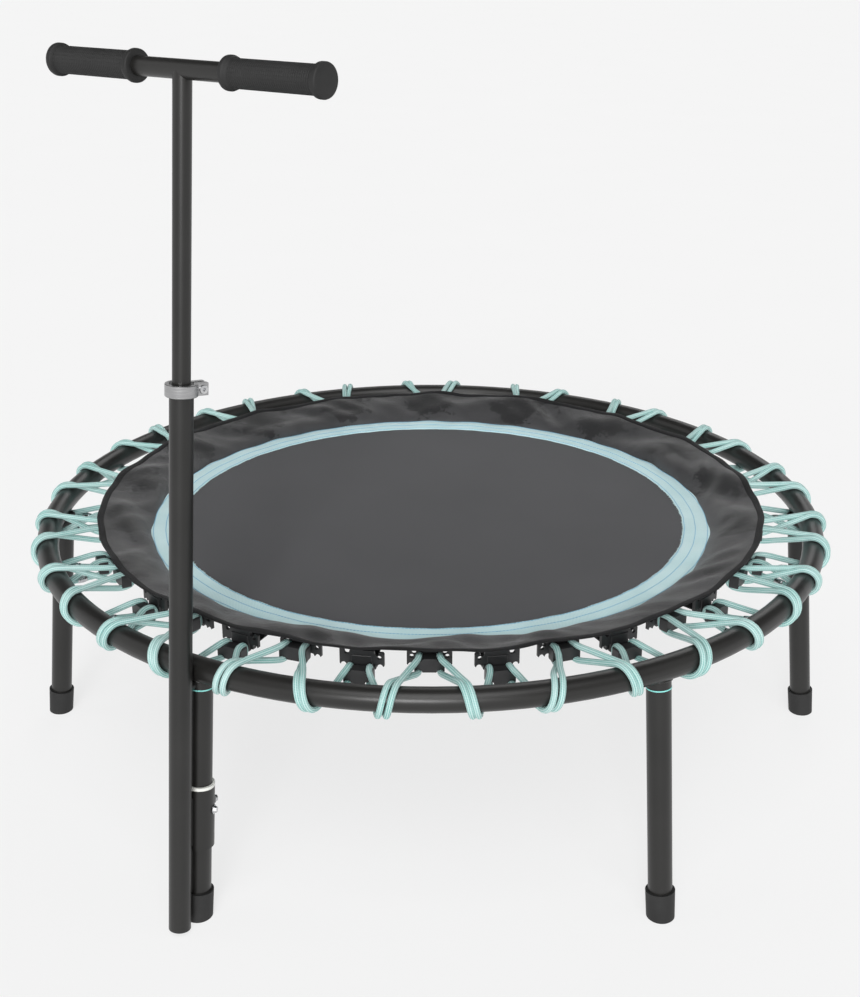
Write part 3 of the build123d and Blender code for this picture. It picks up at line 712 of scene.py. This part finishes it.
def make_skirt():
    segments, rings = 900, 22
    thickness = 0.0007
    points = []
    for k in range(rings):
        points += [skirt_point(k / (rings - 1), 2 * pi * j / segments) for j in range(segments)]
    total = len(points)
    points += [Vector((p.x, p.y, p.z - thickness)) for p in points]
    top = [tuple(reversed(f)) for f in grid_faces(rings, segments, False, True)]
    faces = top + [tuple(total + i for i in reversed(f)) for f in top]
    for j in range(segments):
        after = (j + 1) % segments
        last = (rings - 1) * segments
        faces.append((j, after, total + after, total + j))
        faces.append((last + j, total + last + j, total + last + after, last + after))
    piece = new_piece("skirt_sheet", points, faces, nylon)
    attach(piece, "mat")
    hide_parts("skirt")
    return piece


def make_hem():
    """The bound edge: a soft flat roll that follows the skirt's edge."""
    segments = 900
    half_width, half_thick = 0.0044, 0.0014
    profile = [(cos(2 * pi * k / 12), sin(2 * pi * k / 12)) for k in range(12)]
    points = []
    for u, v in profile:
        for j in range(segments):
            angle = 2 * pi * j / segments
            edge = skirt_point(1.0, angle)
            inner = skirt_point(0.94, angle)
            along = (edge - inner).normalized()
            across = Vector((cos(angle), sin(angle), 0)).cross(Vector((-sin(angle), cos(angle), 0)))
            normal = (across - along * across.dot(along)).normalized()
            flat = abs(u) ** 0.6 * (1 if u > 0 else -1)
            middle = edge - along * (half_width * 0.7) - normal * 0.0003
            points.append(middle + along * (flat * half_width) + normal * (v * half_thick))
    faces = grid_faces(len(profile), segments, True, True)
    piece = new_piece("hem_binding", points, faces, hem_tape)
    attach(piece, "mat")
    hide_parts("skirt_hem")
    return piece


make_mat()
webbing_wobble = make_webbing()
make_stitches(webbing_wobble)
make_fray(webbing_wobble)
skirt_piece = make_skirt()
hem_piece = make_hem()


# --- bungee loops ----------------------------------------------------------------------------------
WRAP_RADIUS = TUBE_RADIUS + CORD_RADIUS + 0.0002
ROUTE_SPACING = 0.003
CRIMP_RADIUS = 0.0046
CRIMP_FROM_CLIP = 0.03


def touch_angle(radius, height, above):
    """Where a straight run from a hook meets the circle of the cord round the tube."""
    away = hypot(radius - RING_RADIUS, height - RING_HEIGHT)
    slope = degrees(atan2(height - RING_HEIGHT, radius - RING_RADIUS)) % 360
    opening = degrees(acos(WRAP_RADIUS / away))
    return slope - opening if above else slope + opening - 360


def strand_points(side, strand, slant):
    """One strand in loop coordinates (radius, sideways, height), from upper to lower clip.

    Sideways runs round the ring from the wrap's middle, positive towards the lower clip.
    """
    step_out = CLIP_BAR_DEPTH / 2
    rise = strand * STRAND_RISE
    upper_side = -radians(CLIP_STEP / 4)
    lower_side = radians(CLIP_STEP / 4)
    upper_y = upper_side * UPPER_RADIUS + NOTCH_PLACE
    lower_y = lower_side * LOWER_RADIUS - NOTCH_PLACE
    shift = strand * side * CORD_SPACING / 2
    upper = (UPPER_RADIUS + step_out, UPPER_HEIGHT + rise)
    lower = (LOWER_RADIUS + step_out, LOWER_HEIGHT + rise)
    start, end = touch_angle(*upper, True), touch_angle(*lower, False)
    points = [(UPPER_RADIUS - step_out, upper_y, UPPER_HEIGHT + rise), (upper[0], upper_y, upper[1])]
    turns = 18
    first = (RING_RADIUS + WRAP_RADIUS * cos(radians(start)), RING_HEIGHT + WRAP_RADIUS * sin(radians(start)))
    last = (RING_RADIUS + WRAP_RADIUS * cos(radians(end)), RING_HEIGHT + WRAP_RADIUS * sin(radians(end)))
    for k in range(1, 7):
        part = k / 7
        points.append((upper[0] + (first[0] - upper[0]) * part,
                       upper_y + (shift - slant - upper_y) * part,
                       upper[1] + (first[1] - upper[1]) * part))
    for k in range(turns + 1):
        part = k / turns
        turn = radians(start + (end - start) * part)
        points.append((RING_RADIUS + WRAP_RADIUS * cos(turn), shift + slant * (2 * part - 1),
                       RING_HEIGHT + WRAP_RADIUS * sin(turn)))
    for k in range(1, 7):
        part = k / 7
        points.append((last[0] + (lower[0] - last[0]) * part,
                       shift + slant + (lower_y - shift - slant) * part,
                       last[1] + (lower[1] - last[1]) * part))
    points += [(lower[0], lower_y, lower[1]), (LOWER_RADIUS - step_out, lower_y, LOWER_HEIGHT + rise)]
    return points


def hook_turn(radius, sideways, height, upwards):
    """The bend behind a clip's bar, from one notch to the other."""
    points = []
    for k in range(1, 6):
        turn = pi * k / 6
        level = cos(turn) * STRAND_RISE * (-1 if upwards else 1)
        points.append((radius - CLIP_BAR_DEPTH / 2 - 0.0052 * sin(turn), sideways, height + level))
    return points


def resample(points, spacing):
    """A closed line of points at even spacing."""
    points = [Vector(p) for p in points]
    ring = points + [points[0]]
    lengths = [0.0]
    for a, b in zip(ring, ring[1:]):
        lengths.append(lengths[-1] + (b - a).length)
    count = int(lengths[-1] / spacing)
    result, k = [], 0
    for i in range(count):
        target = lengths[-1] * i / count
        while lengths[k + 1] < target:
            k += 1
        share = (target - lengths[k]) / max(lengths[k + 1] - lengths[k], 1e-9)
        result.append(ring[k].lerp(ring[k + 1], share))
    return result


def smoothed(points, rounds):
    """The same closed line with its corners eased, never inside the ring tube."""
    for _ in range(rounds):
        count = len(points)
        points = [(points[i - 1] + points[i] * 2 + points[(i + 1) % count]) / 4 for i in range(count)]
        for p in points:
            off = hypot(p.x - RING_RADIUS, p.z - RING_HEIGHT)
            if off < WRAP_RADIUS:
                p.x = RING_RADIUS + (p.x - RING_RADIUS) * WRAP_RADIUS / off
                p.z = RING_HEIGHT + (p.z - RING_HEIGHT) * WRAP_RADIUS / off
    return points


def loop_route(wrap, side, wander, slant):
    """The closed line of one loop in the row frame."""
    one = strand_points(side, 1, slant)
    two = strand_points(side, -1, slant)
    lower_y = one[-1][1]
    upper_y = one[0][1]
    line = one + hook_turn(LOWER_RADIUS, lower_y, LOWER_HEIGHT, False)
    line += two[::-1] + hook_turn(UPPER_RADIUS, upper_y, UPPER_HEIGHT, True)
    line = smoothed(resample(line, ROUTE_SPACING), 5)
    placed = []
    for p in line:
        weight = min(1.0, max(0.0, (p.x - 0.455) / 0.03))
        sideways = side * (p.y + wander * weight)
        across = Vector((-sin(radians(wrap)), cos(radians(wrap)), 0))
        placed.append(polar(wrap, p.x, p.z) + across * sideways)
    return placed


def crimp_radius(part):
    """A crimped sleeve's radius along its length, narrowed at both mouths."""
    return CRIMP_RADIUS - 0.0005 * abs(2 * part - 1) ** 3


wraps = [(CLIP_STEP * step + side * CLIP_STEP / 4, side) for step in range(CLIP_COUNT) for side in (1, -1)]
group_size = len(wraps) // LEG_COUNT
for index, (wrap, side) in enumerate(wraps):
    route = loop_route(wrap, side, seeded.uniform(-0.0025, 0.0025),
                       CORD_SLANT + seeded.uniform(-0.002, 0.001))
    points, faces, uvs = tube_mesh(route, CORD_RADIUS, 14, closed=True)
    loop = new_piece(f"bungee_loop_{index + 1:02d}", points, faces, cord, coordinates=uvs)
    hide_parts(f"bungee_loops_{index // group_size + 1}")
    low_run = [i for i in range(2, len(route) - 2) if route[i].z < LOWER_HEIGHT - 0.004
               and LOWER_RADIUS + 0.012 < route[i].to_2d().length < RING_RADIUS - 0.01]
    near = min(low_run, key=lambda i: abs(route[i].to_2d().length - LOWER_RADIUS - CRIMP_FROM_CLIP))
    points, faces, _ = tube_mesh(route[near - 2:near + 3], crimp_radius, 18)
    crimp = new_piece(f"crimp_sleeve_{index + 1:02d}", points, faces, steel)
    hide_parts("loop_crimps")
    for piece in (loop, crimp):
        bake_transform(piece)


# --- clips ---------------------------------------------------------------------------------------------
def arc(y, z, radius, start, end, steps=8):
    """Points of an arc in a clip's face, angles in degrees."""
    turns = [radians(start + (end - start) * k / steps) for k in range(steps + 1)]
    return [(y + radius * cos(t), z + radius * sin(t)) for t in turns]


def moulded(outline, holes, back, front, rounding):
    """A flat moulded shape: outline and holes in its face, pulled from back to front, edges rounded."""
    shape = bmesh.new()
    edges = []
    for ring in [outline, *holes]:
        made = [shape.verts.new((back, y, z)) for y, z in ring]
        edges += [shape.edges.new((made[k - 1], made[k])) for k in range(len(made))]
    bmesh.ops.triangle_fill(shape, use_beauty=True, edges=edges)
    pulled = bmesh.ops.extrude_face_region(shape, geom=list(shape.faces))
    front_verts = [v for v in pulled["geom"] if isinstance(v, bmesh.types.BMVert)]
    bmesh.ops.translate(shape, verts=front_verts, vec=(front - back, 0, 0))
    bmesh.ops.recalc_face_normals(shape, faces=shape.faces)
    sharp = [e for e in shape.edges if len(e.link_faces) == 2 and e.calc_face_angle() > radians(50)]
    bmesh.ops.bevel(shape, geom=sharp, offset=rounding, segments=2, profile=0.5, affect="EDGES",
                    clamp_overlap=True)
    points = [v.co.copy() for v in shape.verts]
    shape.verts.index_update()
    faces = [tuple(v.index for v in f.verts) for f in shape.faces]
    shape.free()
    return points, faces


def bar_outline():
    half_width, half_height, depth, notch = 0.0165, 0.008, 0.003, 0.004
    points = []
    for sign in (1, -1):
        top = sign * half_height
        row = [(sign * half_width, top - sign * 0.002), (sign * (half_width - 0.0006), top)]
        for place in (NOTCH_PLACE, -NOTCH_PLACE):
            row += [(sign * (place + notch), top), (sign * (place + notch * 0.7), top - sign * depth * 0.85),
                    (sign * place, top - sign * depth),
                    (sign * (place - notch * 0.7), top - sign * depth * 0.85), (sign * (place - notch), top)]
        row += [(-sign * (half_width - 0.0006), top), (-sign * half_width, top - sign * 0.002)]
        points += row
    return points


def plate_outline(post_side):
    """The plate behind the bar: scalloped below, waisted above, with a post on one side."""
    half_width, half_height, scallop = 0.025, 0.009, 0.0031
    foot = -half_height
    points = [(-half_width, foot + 0.001)]
    for place in (-0.0205, -0.0135, 0.0135, 0.0205):
        points += arc(place, foot, scallop, 180, 0)
    points.append((half_width, foot + 0.001))
    for side in (1, -1):
        top = half_height + (0.0028 if side == post_side else -0.001)
        if side == post_side:
            tip = [(0.025, top - 0.002), (0.0243, top - 0.0006), (0.0225, top), (0.0207, top - 0.0006),
                   (0.02, top - 0.002)]
        else:
            tip = [(0.025, top - 0.002), (0.0238, top), (0.0195, top)]
        dip = arc(0.0168, half_height - 0.0022, 0.0028, 0, -180, 6)
        core = [(0.0136, half_height), (0.0118, half_height + 0.0004)]
        row = tip + dip + core
        points += row if side > 0 else [(-y, z) for y, z in reversed(row)]
    return points


def clip_mesh(plate_rise, post_side):
    """One clip about its bar's middle: X outwards, Y round the ring, Z up."""
    made = Collector()
    made.add(*moulded(bar_outline(), [], -0.006, 0.006, 0.0008))
    holes = [arc(side * 0.0195, 0.0022, 0.0024, 0, 330, 11) for side in (-1, 1) if side != post_side]
    points, faces = moulded(plate_outline(post_side), holes, -0.019, -0.015, 0.0007)
    made.add([p + Vector((0, 0, plate_rise)) for p in points], faces)
    low, high = min(-0.004, plate_rise - 0.006), max(0.004, plate_rise + 0.004)
    block = [(-0.0065, -0.004), (0.0065, -0.004), (0.0065, 0.004), (-0.0065, 0.004)]
    made.add(*moulded(block, [], -0.0155, -0.0055, 0.0006))
    saddle = [(-0.0125, low), (0.0125, low), (0.0115, high), (-0.0115, high)]
    made.add(*moulded(saddle, [], -0.0192, -0.0138, 0.0008))
    tunnel = [(-0.015, -0.003), (0.015, -0.003), (0.015, 0.003), (-0.015, 0.003)]
    made.add(*moulded(tunnel, [], -0.025, -0.0185, 0.0008))
    return made


def make_clips(name, node, first, radius, height, patterns):
    clips = Collector()
    for step in range(CLIP_COUNT):
        angle = first + CLIP_STEP * step
        outward = polar(angle, 1)
        across = Vector((-outward.y, outward.x, 0))
        pattern = patterns[step % len(patterns)]
        placed = [outward * (radius + p.x) + across * p.y + Vector((0, 0, height + p.z))
                  for p in pattern.points]
        clips.add(placed, pattern.faces)
    piece = clips.piece(name, black_plastic, smooth=False)
    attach(piece, "mat")
    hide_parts(node)


plain_clip = clip_mesh(-0.001, 0)
post_left, post_right = clip_mesh(0.012, -1), clip_mesh(0.012, 1)
make_clips("clips_above", "upper_clips", 0, UPPER_RADIUS, UPPER_HEIGHT, [plain_clip])
make_clips("clips_below", "lower_clips", CLIP_STEP / 2, LOWER_RADIUS, LOWER_HEIGHT,
           [post_right, post_left, post_left])


# --- weld beads between the ring and the leg sockets -------------------------------------------------------
def make_welds():
    """A bead round each socket, where a line down the socket's side first meets the ring."""
    beads = Collector()
    leg_floor_radius = RING_RADIUS + 0.0255
    bead_points, bead_radius, search_from, search_step = 72, 0.0017, 0.28, 0.0002
    for k in range(LEG_COUNT):
        angle = FIRST_LEG + 360 / LEG_COUNT * k
        foot_point = polar(angle, leg_floor_radius)
        upward = polar(angle, -sin(SPLAY), cos(SPLAY))
        across = polar(angle + 90, 1)
        inward = upward.cross(across)
        path = []
        for j in range(bead_points):
            turn = 2 * pi * j / bead_points
            side = (across * cos(turn) + inward * sin(turn)) * TUBE_RADIUS
            here = foot_point + side + upward * search_from
            while here.z < SOCKET_TOP:
                here = here + upward * search_step
                if hypot(here.to_2d().length - RING_RADIUS, here.z - RING_HEIGHT) < TUBE_RADIUS + 0.0003:
                    break
            path.append(here)
        for _ in range(3):
            path = [(path[i - 1] + path[i] * 2 + path[(i + 1) % bead_points]) / 4 for i in range(bead_points)]
        beads.add(*tube_mesh(path, bead_radius, 10, closed=True))
    piece = beads.piece("weld_beads", paint)
    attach(piece, "frame")


make_welds()


# --- grips ---------------------------------------------------------------------------------------------
def make_grip(name, node, side):
    """A moulded grip: fine rings cut by lengthwise grooves, flanges and a closed end."""
    middle = POLE_FOOT + POLE_AXIS * BAR_ALONG
    inward = POLE_AXIS.cross(Vector((1, 0, 0)))
    turn = radians(BAR_TURN)
    axis = (Vector((1, 0, 0)) * cos(turn) + inward * sin(turn)) * side
    start, end = 0.062, 0.1825
    bore, flange, shoulder, land, valley = 0.00956, 0.0164, 0.0150, 0.0138, 0.0132
    profile = [(start, bore), (start, 0.0154), (start + 0.0008, 0.0162), (start + 0.0022, flange),
               (start + 0.0045, flange), (start + 0.0055, 0.0160), (start + 0.006, 0.0151),
               (start + 0.0085, shoulder), (start + 0.0092, 0.0144), (start + 0.0096, 0.0137)]
    ribs_from, ribs_to = start + 0.010, end - 0.008
    rings = 38
    pitch = (ribs_to - ribs_from) / rings
    for k in range(rings):
        for part, radius in ((0.08, valley), (0.3, valley), (0.42, land), (0.85, land), (0.97, valley)):
            profile.append((ribs_from + pitch * (k + part), radius))
    profile += [(end - 0.0076, 0.0137), (end - 0.0070, 0.0156), (end - 0.0064, 0.0162),
                (end - 0.0050, flange), (end - 0.0018, flange), (end - 0.0006, 0.0160), (end, shoulder),
                (end, 0.006), (end, 0.0001)]

    groove_count, groove_depth = 20, 0.0005

    def grooved(along, radius, around):
        if ribs_from < along < ribs_to and radius > (land + valley) / 2:
            return radius - groove_depth * max(0.0, cos(groove_count * around)) ** 6
        return radius

    points, faces = lathe(middle, axis, profile, 160, grooved)
    if side < 0:
        faces = [tuple(reversed(f)) for f in faces]
    piece = new_piece(name, points, faces, rubber)
    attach(piece, "handle")
    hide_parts(node)


make_grip("grip_cover_left", "grip_left", -1)
make_grip("grip_cover_right", "grip_right", 1)
